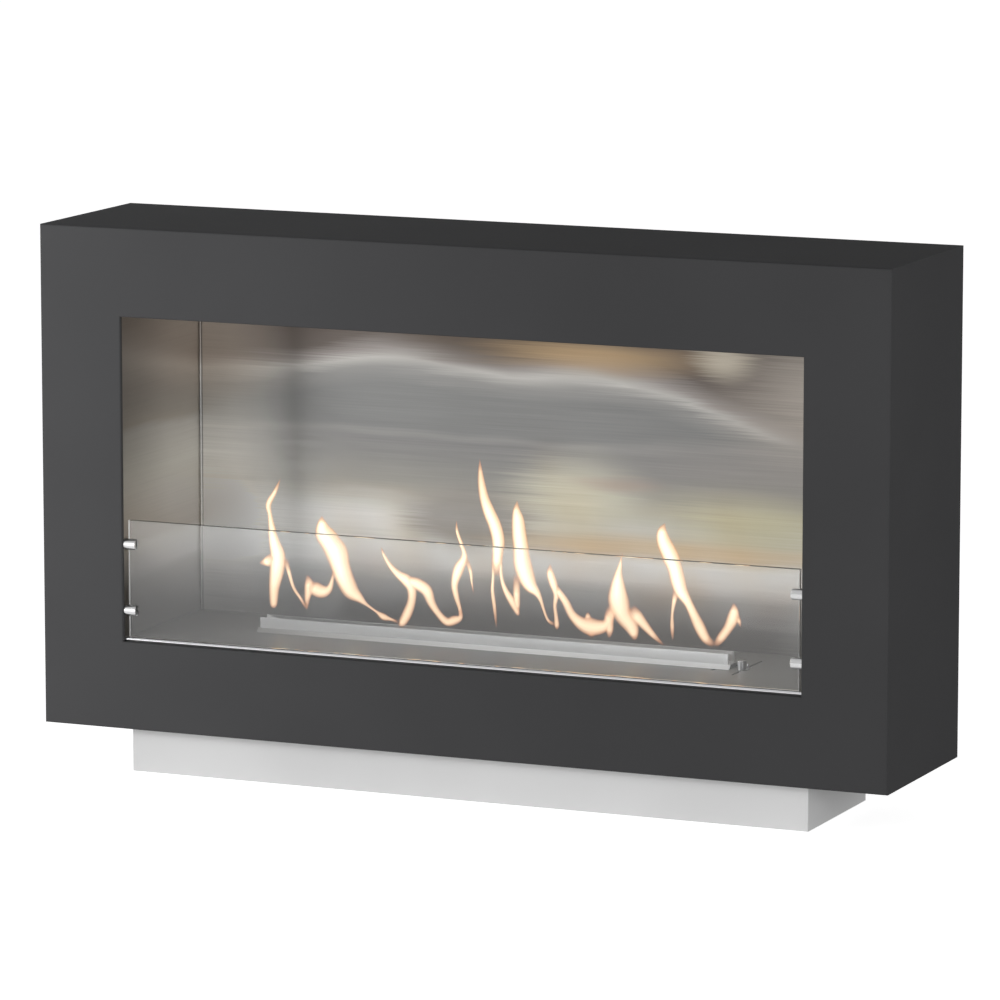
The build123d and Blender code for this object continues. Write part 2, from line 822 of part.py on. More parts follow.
def build_tank():
    """Fuel tank, welded up to the deck, with a fibre pad that soaks up the fuel."""
    tank_bottom = deck_under - tank_height
    with BuildPart() as tank:
        with BuildSketch(Plane.XY.offset(tank_bottom)):
            with Locations((0, slot_centre)):
                RectangleRounded(tank_length, tank_depth, tank_corner)
        extrude(amount=tank_height)
        with BuildSketch(Plane.XY.offset(tank_bottom + tank_sheet)):
            with Locations((0, slot_centre)):
                RectangleRounded(
                    tank_length - 2 * tank_sheet,
                    tank_depth - 2 * tank_sheet,
                    tank_corner - tank_sheet,
                )
        extrude(amount=tank_height, mode=Mode.SUBTRACT)
    save(tank, "fuel_tank")

    inset = 2 * (tank_sheet + pad_gap)
    with BuildPart() as pad:
        with BuildSketch(Plane.XY.offset(tank_bottom + tank_sheet)):
            with Locations((0, slot_centre)):
                RectangleRounded(tank_length - inset, tank_depth - inset, tank_corner - tank_sheet)
        extrude(amount=pad_height)
    save(pad, "tank_fibre_pad")


def build_spill_tray():
    """Shallow tray on the casing's bottom, under the tank."""
    with BuildPart() as tray:
        with BuildSketch(Plane.XY.offset(inner_bottom)):
            with Locations((0, slot_centre)):
                Rectangle(tray_length, tray_depth)
        extrude(amount=tray_height)
        with BuildSketch(Plane.XY.offset(inner_bottom + tray_sheet)):
            with Locations((0, slot_centre)):
                Rectangle(tray_length - 2 * tray_sheet, tray_depth - 2 * tray_sheet)
        extrude(amount=tray_height, mode=Mode.SUBTRACT)
    save(tray, "spill_tray")


# Shutter
def build_shutter():
    """Sliding plate with an arm at its right end, and what the pin stands on."""
    shutter_top = shutter_bottom + shutter_sheet
    arm_left = pin_slot_x - arm_width / 2
    with BuildPart() as plate:
        bar((shutter_left, arm_right), (shutter_front, shutter_rear), (shutter_bottom, shutter_top))
        bar((arm_left, arm_right), (shutter_rear, tongue_rear + arm_tail), (shutter_bottom, shutter_top))
    save(plate, "shutter_plate")

    with BuildPart() as tongue:
        bar(
            (pin_slot_x - tongue_width / 2, pin_slot_x + tongue_width / 2),
            (tongue_front, tongue_rear),
            (shutter_top, foot_plate_bottom),
        )
    save(tongue, "shutter_tongue")

    guide_x = pin_slot_x + guide_pin_offset[0]
    guide_y = pull_pin_y + guide_pin_offset[1]
    with BuildPart() as foot:
        with BuildSketch(Plane.XY.offset(foot_plate_bottom)):
            with Locations((pin_slot_x, pull_pin_y)):
                Circle(pull_pin_diameter / 2)
            with Locations((guide_x, guide_y)):
                Circle(foot_plate_nose)
            make_hull()
        extrude(amount=foot_plate_sheet)
    save(foot, "shutter_foot_plate")

    pull_height = floor_top + pull_pin_height - foot_plate_top
    with BuildPart() as pull:
        rods([(pin_slot_x, pull_pin_y, foot_plate_top)], (0, 0, 1), pull_pin_diameter / 2, pull_height)
        chamfer(pull.faces().sort_by(Axis.Z)[-1].edges(), pull_pin_chamfer)
    save(pull, "shutter_pull_pin")

    guide_height = floor_top + guide_pin_height - foot_plate_top
    with BuildPart() as guide:
        rods([(guide_x, guide_y, foot_plate_top)], (0, 0, 1), guide_pin_diameter / 2, guide_height)
        chamfer(guide.faces().sort_by(Axis.Z)[-1].edges(), guide_pin_chamfer)
    save(guide, "shutter_guide_pin")


build_casing()
build_corner_angles()
build_back_panel()
build_back_screws()
build_plinth()
build_firebox_liner()
build_firebox_floor()
build_firebox_ceiling()
build_liner_rivets()
build_frame_fixings()
build_supports_and_boards()
build_front_rod()
build_glass()
build_holders()
build_lip(-1, "burner_front_lip")
build_lip(1, "burner_rear_lip")
build_end_cap(-1, "burner_end_cap_left")
build_end_cap(1, "burner_end_cap_right")
build_deck()
build_spacers()
build_deck_fixings()
build_tank()
build_spill_tray()
build_shutter()
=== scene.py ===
import json
import math

import bpy
import numpy as np
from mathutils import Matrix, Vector


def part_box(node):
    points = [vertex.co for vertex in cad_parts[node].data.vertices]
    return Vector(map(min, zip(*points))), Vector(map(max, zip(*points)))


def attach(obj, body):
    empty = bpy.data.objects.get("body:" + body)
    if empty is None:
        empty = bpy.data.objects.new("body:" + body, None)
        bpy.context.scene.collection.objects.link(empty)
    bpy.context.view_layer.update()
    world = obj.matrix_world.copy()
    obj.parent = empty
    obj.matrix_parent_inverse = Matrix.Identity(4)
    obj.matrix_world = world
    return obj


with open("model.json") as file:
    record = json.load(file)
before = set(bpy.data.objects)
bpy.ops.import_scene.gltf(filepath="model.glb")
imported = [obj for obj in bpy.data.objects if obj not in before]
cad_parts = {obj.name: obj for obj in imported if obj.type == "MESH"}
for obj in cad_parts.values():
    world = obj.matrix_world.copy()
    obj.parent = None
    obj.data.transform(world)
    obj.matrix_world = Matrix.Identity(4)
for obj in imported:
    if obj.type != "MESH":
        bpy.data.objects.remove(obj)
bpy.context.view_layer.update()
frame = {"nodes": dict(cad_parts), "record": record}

# A free-standing flueless fireplace with a steel-lined chamber, dressed over its solid model.
# Lengths are in metres. The front faces -Y, and the floor under the plinth is at z = 0.

mm = 0.001

# Places taken from the solid model. The rod reaches from one side wall to the other.
lip_low, lip_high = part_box("burner_front_lip")
rear_lip_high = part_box("burner_rear_lip")[1]
casing_low, casing_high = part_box("casing_bottom")[0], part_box("casing_top")[1]
slot_middle_y = (lip_low.y + rear_lip_high.y) / 2
side_wall_x = -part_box("front_rod")[0].x
back_wall_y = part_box("firebox_floor")[1].y

# Camera: where the photograph was taken from
camera_place = (3.3954, -7.7809, 1.7836)
camera_turn = math.radians(23.532)
camera_drop = math.radians(9.264)
camera_lens = 226.07
camera_sensor = 36.0

# Settings of a Mix node for colours, which are then its inputs 6 and 7. Without them it blends
# plain values, which are its inputs 2 and 3.
mix = {"data_type": "RGBA"}
multiply = {"data_type": "RGBA", "blend_type": "MULTIPLY"}

# Noise, and the brush marks that are made of it, lie mostly between these values
noise_range = (0.3, 0.7)
marks_range = (0.25, 0.75)


def linear(colour):
    """An sRGB hex colour as the linear colour that the shaders take."""
    channels = [int(colour[start:start + 2], 16) / 255 for start in (1, 3, 5)]
    return [c / 12.92 if c <= 0.04045 else ((c + 0.055) / 1.055) ** 2.4 for c in channels] + [1.0]


def add(tree, kind, inputs=None, **settings):
    """Add a shader node with its settings. Its inputs are a dictionary, or a list in the node's
    own order, and each is a link, a hex colour or another value."""
    node = tree.nodes.new("ShaderNode" + kind)
    for name, value in settings.items():
        setattr(node, name, value)
    if isinstance(inputs, list):
        inputs = dict(enumerate(inputs))
    for name, value in (inputs or {}).items():
        if isinstance(value, bpy.types.NodeSocket):
            tree.links.new(value, node.inputs[name])
        else:
            node.inputs[name].default_value = linear(value) if isinstance(value, str) else value
    return node


def new_material(name):
    """An empty node material."""
    material = bpy.data.materials.new(name)
    material.use_nodes = True
    material.node_tree.nodes.clear()
    return material, material.node_tree


def grain_of(tree, sizes, detail=3.0, place=None):
    """Noise whose grains have the given real size each way, in metres."""
    if place is None:
        place = add(tree, "TexCoord").outputs["Object"]
    stretched = add(tree, "Mapping", {"Vector": place, "Scale": [1 / size for size in sizes]}).outputs[0]
    return add(tree, "TexNoise", {"Vector": stretched, "Scale": 1.0, "Detail": detail}).outputs[0]


def colours_along(tree, value, stops):
    """Colours along a value, from a list of (value, hex colour)."""
    low, high = stops[0][0], stops[-1][0]
    share = add(tree, "MapRange", [value, low, high, 0.0, 1.0]).outputs[0]
    node = add(tree, "ValToRGB", [share])
    elements = node.color_ramp.elements
    while len(elements) < len(stops):
        elements.new(0.5)
    for element, (stop, colour) in zip(elements, stops):
        element.position = (stop - low) / (high - low)
        element.color = linear(colour)
    return node.outputs[0]


# Powder-coated sheet
peel_grain = 2 * mm
peel_depth = 0.2 * mm
peel_strength = 0.12
coat_cloud = 0.18
coat_unevenness = 0.03
coat_gloss_spread = 0.05
# Where the painted light on a powder coat ends, along X
painted_light_end_x = 0.2


def powder_coat(name, colour, roughness, specular, painted_light_left):
    """Polyester powder, sprayed and baked on sheet steel. It looks even and matt,
    with an orange-peel surface whose grains are drawn at 2 mm, coarser than the real 0.5 mm.
    Its last argument is painted light, which makes it a little paler towards its left end."""
    material, tree = new_material(name)
    grain = grain_of(tree, (peel_grain, peel_grain, peel_grain))
    cloud = grain_of(tree, (coat_cloud, coat_cloud, coat_cloud), 1.0)
    shades = (1 - coat_unevenness, 1 + coat_unevenness)
    shade = add(tree, "MapRange", [cloud, *noise_range, *shades]).outputs[0]
    tint = add(tree, "Mix", {0: 1.0, 6: colour, 7: shade}, **multiply).outputs[2]
    # Painted light: the coat grows paler towards its left end
    x = add(tree, "SeparateXYZ", [add(tree, "TexCoord").outputs["Object"]]).outputs[0]
    painted_light = add(tree, "MapRange", [x, casing_low.x, painted_light_end_x, painted_light_left, 1.0]).outputs[0]
    tint = add(tree, "Mix", {0: 1.0, 6: tint, 7: painted_light}, **multiply).outputs[2]
    peel = {"Height": grain, "Strength": peel_strength, "Distance": peel_depth}
    bump = add(tree, "Bump", peel).outputs[0]
    gloss = (roughness - coat_gloss_spread, roughness + coat_gloss_spread)
    rough = add(tree, "MapRange", [grain, *noise_range, *gloss]).outputs[0]
    shader = add(tree, "BsdfPrincipled", {
        "Base Color": tint,
        "Roughness": rough,
        "Specular IOR Level": specular,
        "Normal": bump,
    })
    add(tree, "OutputMaterial", [shader.outputs[0]])
    return material


# Brushed stainless steel: the marks' length and width, how much of them is broad, their depth,
# and how far they change the roughness
fine_mark = (0.16, 2.2 * mm, 1.0)
broad_mark = (0.6, 9 * mm, 1.0)
broad_share = 0.4
mark_depth = 0.1 * mm
mark_gloss_spread = 0.06


def brush_marks(tree, along, across):
    """Fine and broad brush marks, as one value about 0.5. along and across are sockets in metres.
    Real marks are a tenth of a millimetre wide, too fine to show, so they are drawn 2 mm wide."""
    place = add(tree, "CombineXYZ", [along, across]).outputs[0]
    fine = grain_of(tree, fine_mark, 2.0, place)
    broad = grain_of(tree, broad_mark, 2.0, place)
    return add(tree, "Mix", {0: broad_share, 2: fine, 3: broad}).outputs[0]


def marks_along_x(tree):
    """Where a point lies along X, and brush marks that run along X."""
    place = add(tree, "TexCoord").outputs["Object"]
    x, y, z = add(tree, "SeparateXYZ", [place]).outputs
    across = add(tree, "Math", [y, z], operation="ADD").outputs[0]
    return x, brush_marks(tree, x, across)


def brushed_shader(tree, colour, marks, contrast, roughness, relief=0.1):
    """A brushed metal surface: marks vary its tint and its gloss."""
    shade = add(tree, "MapRange", [marks, *marks_range, 1 - contrast, 1 + contrast]).outputs[0]
    tint = add(tree, "Mix", {0: 1.0, 6: colour, 7: shade}, **multiply).outputs[2]
    gloss = (roughness - mark_gloss_spread, roughness + mark_gloss_spread)
    rough = add(tree, "MapRange", [marks, *noise_range, *gloss]).outputs[0]
    bump = add(tree, "Bump", {"Height": marks, "Strength": relief, "Distance": mark_depth}).outputs[0]
    return add(tree, "BsdfPrincipled", {
        "Base Color": tint,
        "Metallic": 1.0,
        "Roughness": rough,
        "Normal": bump,
    })


# Painted reflections and shade on the back wall, as tones from the floor to the ceiling: height in
# metres and colour
back_wall_reflection_tones = [
    (0.193, "#787776"),
    (0.235, "#81807f"),
    (0.258, "#8c8b8a"),
    (0.280, "#afaeac"),
    (0.300, "#b9b8b6"),
    (0.330, "#a8a49b"),
    (0.352, "#a8a6a1"),
    (0.375, "#928e85"),
    (0.395, "#807e79"),
    (0.430, "#737270"),
    (0.455, "#706f6e"),
    (0.463, "#787775"),
    (0.473, "#6c6c6b"),
    (0.500, "#646463"),
]

# Tones about a wavy bright line, which is a painted reflection, by the height over it in metres
wave_reflection_tones = [
    (-0.100, "#6e6e6d"),
    (-0.040, "#6b6b6a"),
    (-0.016, "#777674"),
    (0.000, "#93918d"),
    (0.014, "#77726f"),
    (0.032, "#56504c"),
    (0.060, "#4e4743"),
    (0.100, "#524c47"),
]

# The painted bright line's height over the wall: x and z in metres
wave_points = [
    (-0.50, 0.536), (-0.375, 0.545), (-0.25, 0.571), (-0.20, 0.576), (-0.11, 0.565), (-0.02, 0.556),
    (0.10, 0.561), (0.19, 0.550), (0.28, 0.522), (0.37, 0.489), (0.50, 0.450),
]
wave_half_width = 0.5
wave_low = 0.40
wave_high = 0.65

# The wavy tones take over from the level ones between these heights
wave_from = 0.468
wave_to = 0.490

# Patches of painted reflection and shade on the back wall: centre, reach, softness, strength and colour
back_wall_painted_patches = {
    "pale left end": ((-0.47, 0.375), (0.24, 0.17), 0.9, 0.8, "#9c9b98"),
    "brown top left": ((-0.50, 0.585), (0.20, 0.10), 0.9, 0.8, "#6c6762"),
    "white band": ((-0.28, 0.337), (0.27, 0.055), 0.9, 0.85, "#bcbbb9"),
    "grey gap": ((-0.085, 0.352), (0.13, 0.06), 0.6, 0.8, "#7f7b77"),
    "cream patch": ((0.08, 0.388), (0.14, 0.09), 0.9, 0.85, "#aca99a"),
    "rose streak": ((0.14, 0.414), (0.10, 0.02), 0.9, 0.6, "#8c7d74"),
    "olive patch": ((0.34, 0.366), (0.22, 0.08), 1.0, 0.85, "#a39e86"),
    "amber band": ((0.22, 0.323), (0.36, 0.026), 0.8, 0.8, "#b2a088"),
    "grey right end": ((0.36, 0.440), (0.30, 0.06), 0.9, 0.8, "#7a7774"),
    "brown top": ((-0.06, 0.60), (0.20, 0.045), 0.9, 0.9, "#4e463f"),
    "amber top": ((0.10, 0.588), (0.22, 0.032), 0.9, 0.8, "#8e795d"),
    "brown top right": ((0.47, 0.54), (0.24, 0.15), 0.9, 0.9, "#8c867f"),
    "pale low right": ((0.48, 0.21), (0.14, 0.06), 0.9, 0.8, "#aaa9a7"),
    "pale top right": ((0.289, 0.592), (0.06, 0.035), 0.9, 0.7, "#a59e90"),
}

# Painted reflections and shade on the side walls, as tones from the floor to the ceiling
side_wall_reflection_tones = [
    (0.193, "#8a8886"),
    (0.262, "#908c88"),
    (0.281, "#a29f9c"),
    (0.314, "#a09d97"),
    (0.330, "#908981"),
    (0.420, "#98958f"),
    (0.474, "#95918b"),
    (0.486, "#867f76"),
    (0.540, "#888078"),
    (0.642, "#9c9791"),
]

# How far the tones are smeared along the grain, how far they waver up and down, and the size
# of the wavers
smear_reach = 0.03
waver_reach = 6 * mm
waver_size = (0.25, 0.25, 0.05)

# The back wall's left end mirrors the side wall, which darkens it, so painted light lifts its tone.
# Painted light also makes the right half a little paler, as the room lights it a little more.
end_painted_light = 3.2
end_painted_light_from = -0.46
end_painted_light_to = -0.34
right_painted_light = 1.15
right_painted_light_from = -0.1
right_painted_light_to = 0.1

# At the upright folds the back wall's tones begin, and painted shade darkens the folds so that no bright
# line shows
fold_radius = 3 * mm
fold_blend = 1 * mm
fold_shade_level = 0.32


def soft_spot(tree, wall, centre, reach, edge):
    """A soft-edged oval on a wall: 1 in its middle and 0 outside its reach."""
    place = add(tree, "Mapping", {
        "Vector": wall,
        "Location": (*centre, 0),
        "Scale": (*reach, 1),
    }, vector_type="TEXTURE").outputs[0]
    fall = add(tree, "TexGradient", [place], gradient_type="SPHERICAL").outputs["Fac"]
    return add(tree, "MapRange", [fall, 0.0, edge], interpolation_type="SMOOTHSTEP").outputs[0]


def wavy_line(tree, x):
    """The painted bright line's height at x, as a smooth curve through its points."""
    share = add(tree, "MapRange", [x, -wave_half_width, wave_half_width, 0.0, 1.0]).outputs[0]
    wave = add(tree, "FloatCurve", {"Value": share})
    curve = wave.mapping.curves[0]
    while len(curve.points) < len(wave_points):
        curve.points.new(0.5, 0.5)
    for point, (point_x, point_z) in zip(curve.points, wave_points):
        across = (point_x + wave_half_width) / (2 * wave_half_width)
        point.location = (across, (point_z - wave_low) / (wave_high - wave_low))
    wave.mapping.update()
    return add(tree, "MapRange", [wave.outputs[0], 0.0, 1.0, wave_low, wave_high]).outputs[0]


def back_wall_colour(tree, x, smeared_x, smeared_z):
    """The back wall's painted reflections and shade, as tones and patches, and the painted light that
    pales its right half and left end.
    """
    level = colours_along(tree, smeared_z, back_wall_reflection_tones)
    above = add(tree, "Math", [smeared_z, wavy_line(tree, smeared_x)], operation="SUBTRACT").outputs[0]
    wavy = colours_along(tree, above, wave_reflection_tones)
    share = add(tree, "MapRange", [smeared_z, wave_from, wave_to, 0.0, 1.0]).outputs[0]
    colour = add(tree, "Mix", {0: share, 6: level, 7: wavy}, **mix).outputs[2]

    wall = add(tree, "CombineXYZ", [smeared_x, smeared_z]).outputs[0]
    for centre, reach, edge, strength, patch in back_wall_painted_patches.values():
        spot = soft_spot(tree, wall, centre, reach, edge)
        share = add(tree, "Math", [spot, strength], operation="MULTIPLY").outputs[0]
        colour = add(tree, "Mix", {0: share, 6: colour, 7: patch}, **mix).outputs[2]

    # Painted light: the right half a little paler, and the left end much paler
    right = add(tree, "MapRange", [x, right_painted_light_from, right_painted_light_to, 1.0, right_painted_light]).outputs[0]
    colour = add(tree, "Mix", {0: 1.0, 6: colour, 7: right}, **multiply).outputs[2]
    end_range = [x, end_painted_light_from, end_painted_light_to, end_painted_light, 1.0]
    left = add(tree, "MapRange", end_range, interpolation_type="SMOOTHSTEP").outputs[0]
    return add(tree, "Mix", {0: 1.0, 6: colour, 7: left}, **multiply).outputs[2]


def brushed_wall():
    """Stainless sheet with a horizontal brushed grain. It mirrors the room, and its colour also carries
    painted reflections and shade, smeared and streaky, in straw and grey tones."""
    material, tree = new_material("brushed stainless walls")
    place = add(tree, "TexCoord").outputs["Object"]
    x, y, z = add(tree, "SeparateXYZ", [place]).outputs
    along = add(tree, "Math", [x, y], operation="ADD").outputs[0]
    marks = brush_marks(tree, along, z)

    waver = grain_of(tree, waver_size, 2.0)
    sideways = add(tree, "MapRange", [marks, *marks_range, -smear_reach, smear_reach]).outputs[0]
    upwards = add(tree, "MapRange", [waver, *noise_range, -waver_reach, waver_reach]).outputs[0]
    smeared_x = add(tree, "Math", [x, sideways], operation="ADD").outputs[0]
    smeared_z = add(tree, "Math", [z, upwards], operation="ADD").outputs[0]

    back = back_wall_colour(tree, x, smeared_x, smeared_z)
    side = colours_along(tree, smeared_z, side_wall_reflection_tones)
    back_to = back_wall_y - fold_blend
    is_back = add(tree, "MapRange", [y, back_to - fold_radius, back_to, 0.0, 1.0]).outputs[0]
    colour = add(tree, "Mix", {0: is_back, 6: side, 7: back}, **mix).outputs[2]

    # Painted shade darkens the upright folds
    aside = add(tree, "Math", [x], operation="ABSOLUTE").outputs[0]
    towards_fold = add(tree, "Math", [aside, y], operation="ADD").outputs[0]
    fold_start = side_wall_x + back_wall_y - fold_radius
    fold_range = [towards_fold, fold_start - fold_blend, fold_start, 1.0, fold_shade_level]
    fold_painted_shade = add(tree, "MapRange", fold_range).outputs[0]
    colour = add(tree, "Mix", {0: 1.0, 6: colour, 7: fold_painted_shade}, **multiply).outputs[2]
    shader = brushed_shader(tree, colour, marks, contrast=0.10, roughness=0.34)
    add(tree, "OutputMaterial", [shader.outputs[0]])
    return material


# How strongly the floor smears what it mirrors, from 0 to 1
floor_smear = 0.9


def brushed_floor():
    """The same brushed sheet, lying flat. Its grain runs along X and smears what it mirrors
    across it, towards the front."""
    material, tree = new_material("brushed stainless floor")
    marks = marks_along_x(tree)[1]
    shader = brushed_shader(tree, "#929190", marks, contrast=0.03, roughness=0.38, relief=0.02)
    shader.inputs["Anisotropic"].default_value = floor_smear
    across_grain = add(tree, "CombineXYZ", {"Y": 1.0}).outputs[0]
    tree.links.new(across_grain, shader.inputs["Tangent"])
    add(tree, "OutputMaterial", [shader.outputs[0]])
    return material


def brushed_trim(name, colour, roughness, contrast):
    """Small stainless pieces with a satin grain along their length."""
    material, tree = new_material(name)
    marks = marks_along_x(tree)[1]
    shader = brushed_shader(tree, colour, marks, contrast, roughness)
    add(tree, "OutputMaterial", [shader.outputs[0]])
    return material


def polished_rod():
    """Polished stainless bar: a near mirror with faint lengthwise polishing marks."""
    return brushed_trim("polished stainless", "#d2d2d4", roughness=0.15, contrast=0.03)


# The lips' colour from left to right, which carries a painted reflection of the room that is lighter
# towards the right, and how much paler painted light makes them where they slope upwards
lip_left_painted_tone = "#acabaa"
lip_right_painted_tone = "#fefefe"
lip_slope = (0.2, 0.5)
lip_slope_painted_light = 1.45


def brushed_lips():
    """Folded strips of satin steel. Their colour carries a painted reflection of the room, lighter
    towards the right, and painted light on their feet and top edges, which face upwards."""
    material, tree = new_material("satin stainless lips")
    x, marks = marks_along_x(tree)
    # Painted reflection, lighter towards the right
    share = add(tree, "MapRange", [x, lip_low.x, lip_high.x, 0.0, 1.0]).outputs[0]
    colour = add(tree, "Mix", {0: share, 6: lip_left_painted_tone, 7: lip_right_painted_tone}, **mix).outputs[2]
    # Painted light on the faces that slope upwards
    normal = add(tree, "NewGeometry").outputs["Normal"]
    upwards = add(tree, "SeparateXYZ", [normal]).outputs[2]
    painted_light = add(tree, "MapRange", [upwards, *lip_slope, 1.0, lip_slope_painted_light]).outputs[0]
    colour = add(tree, "Mix", {0: 1.0, 6: colour, 7: painted_light}, **multiply).outputs[2]
    shader = brushed_shader(tree, colour, marks, contrast=0.04, roughness=0.4)
    add(tree, "OutputMaterial", [shader.outputs[0]])
    return material


# Glass: its faint smudges, and its ground ends, which are the faces that look along X
smudge_size = (0.3, 0.3, 0.12)
smudge_range = (0.6, 0.9)
smudge_roughness = 0.015
end_facing = (0.4, 0.6)
end_clearness = 0.25


def clear_glass():
    """Toughened float glass: clear, with ground end edges that look white."""
    material, tree = new_material("toughened glass")
    smudge = grain_of(tree, smudge_size, 1.0)
    rough = add(tree, "MapRange", [smudge, *smudge_range, 0.0, smudge_roughness]).outputs[0]
    normal = add(tree, "NewGeometry").outputs["Normal"]
    sideways = add(tree, "SeparateXYZ", [normal]).outputs[0]
    end = add(tree, "Math", [sideways], operation="ABSOLUTE").outputs[0]
    clearness = add(tree, "MapRange", [end, *end_facing, 1.0, end_clearness]).outputs[0]
    shader = add(tree, "BsdfPrincipled", {
        "Base Color": "#fdfefe",
        "Roughness": rough,
        "IOR": 1.5,
        "Transmission Weight": clearness,
    })
    add(tree, "OutputMaterial", [shader.outputs[0]])
    return material


# Zinc coats: crystal size, grain size, and their roughness from least to most
crystal_size = 12 * mm
crystal_roughness = (0.38, 0.55)
plate_grain = 3 * mm
plate_roughness = (0.28, 0.42)


def galvanised_sheet():
    """Hot-dipped zinc on sheet steel: dull grey, with the flat crystals of the zinc, 12 mm across."""
    material, tree = new_material("galvanised sheet")
    place = add(tree, "TexCoord").outputs["Object"]
    crystals = add(tree, "TexVoronoi", {"Vector": place, "Scale": 1 / crystal_size})
    tone = add(tree, "SeparateColor", [crystals.outputs["Color"]]).outputs[0]
    colour = add(tree, "Mix", {0: tone, 6: "#a6aaac", 7: "#b9bcbe"}, **mix).outputs[2]
    rough = add(tree, "MapRange", [tone, 0.0, 1.0, *crystal_roughness]).outputs[0]
    shader = add(tree, "BsdfPrincipled", {"Base Color": colour, "Metallic": 1.0, "Roughness": rough})
    add(tree, "OutputMaterial", [shader.outputs[0]])
    return material


def zinc_plate():
    """Bright zinc plate on small steel fasteners: pale grey, a little uneven."""
    material, tree = new_material("zinc plate")
    cloud = grain_of(tree, (plate_grain, plate_grain, plate_grain))
    colour = add(tree, "Mix", {0: cloud, 6: "#b7b7b2", 7: "#cbcbc8"}, **mix).outputs[2]
    rough = add(tree, "MapRange", [cloud, *noise_range, *plate_roughness]).outputs[0]
    shader = add(tree, "BsdfPrincipled", {"Base Color": colour, "Metallic": 1.0, "Roughness": rough})
    add(tree, "OutputMaterial", [shader.outputs[0]])
    return material


# Mineral fibre
felt_roughness = 0.9
felt_strength = 0.5
felt_depth = 0.5 * mm


def fibre_felt(name, light, dark, fibre):
    """Pressed mineral fibre: matt and slightly rough, in grains of one fibre bundle's size."""
    material, tree = new_material(name)
    grain = grain_of(tree, (3 * fibre, fibre, fibre), 4.0)
    share = add(tree, "MapRange", [grain, *noise_range, 0.0, 1.0]).outputs[0]
    colour = add(tree, "Mix", {0: share, 6: dark, 7: light}, **mix).outputs[2]
    pressed = {"Height": grain, "Strength": felt_strength, "Distance": felt_depth}
    bump = add(tree, "Bump", pressed).outputs[0]
    surface = {"Base Color": colour, "Roughness": felt_roughness, "Normal": bump}
    shader = add(tree, "BsdfPrincipled", surface)
    add(tree, "OutputMaterial", [shader.outputs[0]])
    return material


# A flame grows see-through below this heat. Its colours run from its cool edge to its core.
opaque_heat = 0.65
flame_glow = 1.15
flame_colours = [
    (0.00, "#d98458"),
    (0.15, "#e7a47a"),
    (0.35, "#f4c8a2"),
    (0.55, "#fde3bd"),
    (0.78, "#fff8dc"),
    (1.00, "#fffffb"),
]


def flame_material():
    """Burning spirit: a white core, a cream body and a thin orange edge that fades out."""
    material, tree = new_material("flame")
    heat = add(tree, "Attribute", attribute_name="flame_heat").outputs["Fac"]
    colour = colours_along(tree, heat, flame_colours)
    cover = add(tree, "MapRange", [heat, 0.0, opaque_heat, 0.0, 1.0]).outputs[0]
    glow = add(tree, "Emission", [colour, flame_glow]).outputs[0]
    clear = add(tree, "BsdfTransparent").outputs[0]
    mixed = add(tree, "MixShader", [cover, clear, glow])
    add(tree, "OutputMaterial", [mixed.outputs[0]])
    return material


# Finish of each material slot
finishes = {
    "dark_powder_coat": powder_coat(
        "charcoal powder coat", "#464647", roughness=0.8, specular=0.03, painted_light_left=1.4),
    "light_powder_coat": powder_coat(
        "pale grey powder coat", "#e5e5e5", roughness=0.8, specular=0.05, painted_light_left=1.0),
    "brushed_stainless": brushed_trim("brushed stainless", "#b4b3b1", roughness=0.36, contrast=0.05),
    "polished_stainless": polished_rod(),
    "satin_stainless": brushed_trim("satin stainless", "#c9c9c9", roughness=0.28, contrast=0.04),
    "clear_glass": clear_glass(),
    "galvanised_sheet": galvanised_sheet(),
    "zinc_plated_fastener": zinc_plate(),
    "ceramic_fibre": fibre_felt("ceramic fibre felt", "#e2e0d8", "#c9c6bb", fibre=1.5 * mm),
    "mineral_board": fibre_felt("mineral board", "#c9bfa9", "#b3a88f", fibre=1.0 * mm),
}

# Pieces whose finish differs from their slot's
lip_finish = brushed_lips()
own_finishes = {
    "firebox_liner": brushed_wall(),
    "firebox_floor": brushed_floor(),
    "burner_front_lip": lip_finish,
    "burner_rear_lip": lip_finish,
}

for piece in frame["record"]["subparts"]:
    node = frame["nodes"][piece["node"]]
    material = own_finishes.get(piece["node"], finishes[piece["material_slot"]])
    node.data.materials.clear()
    node.data.materials.append(material)


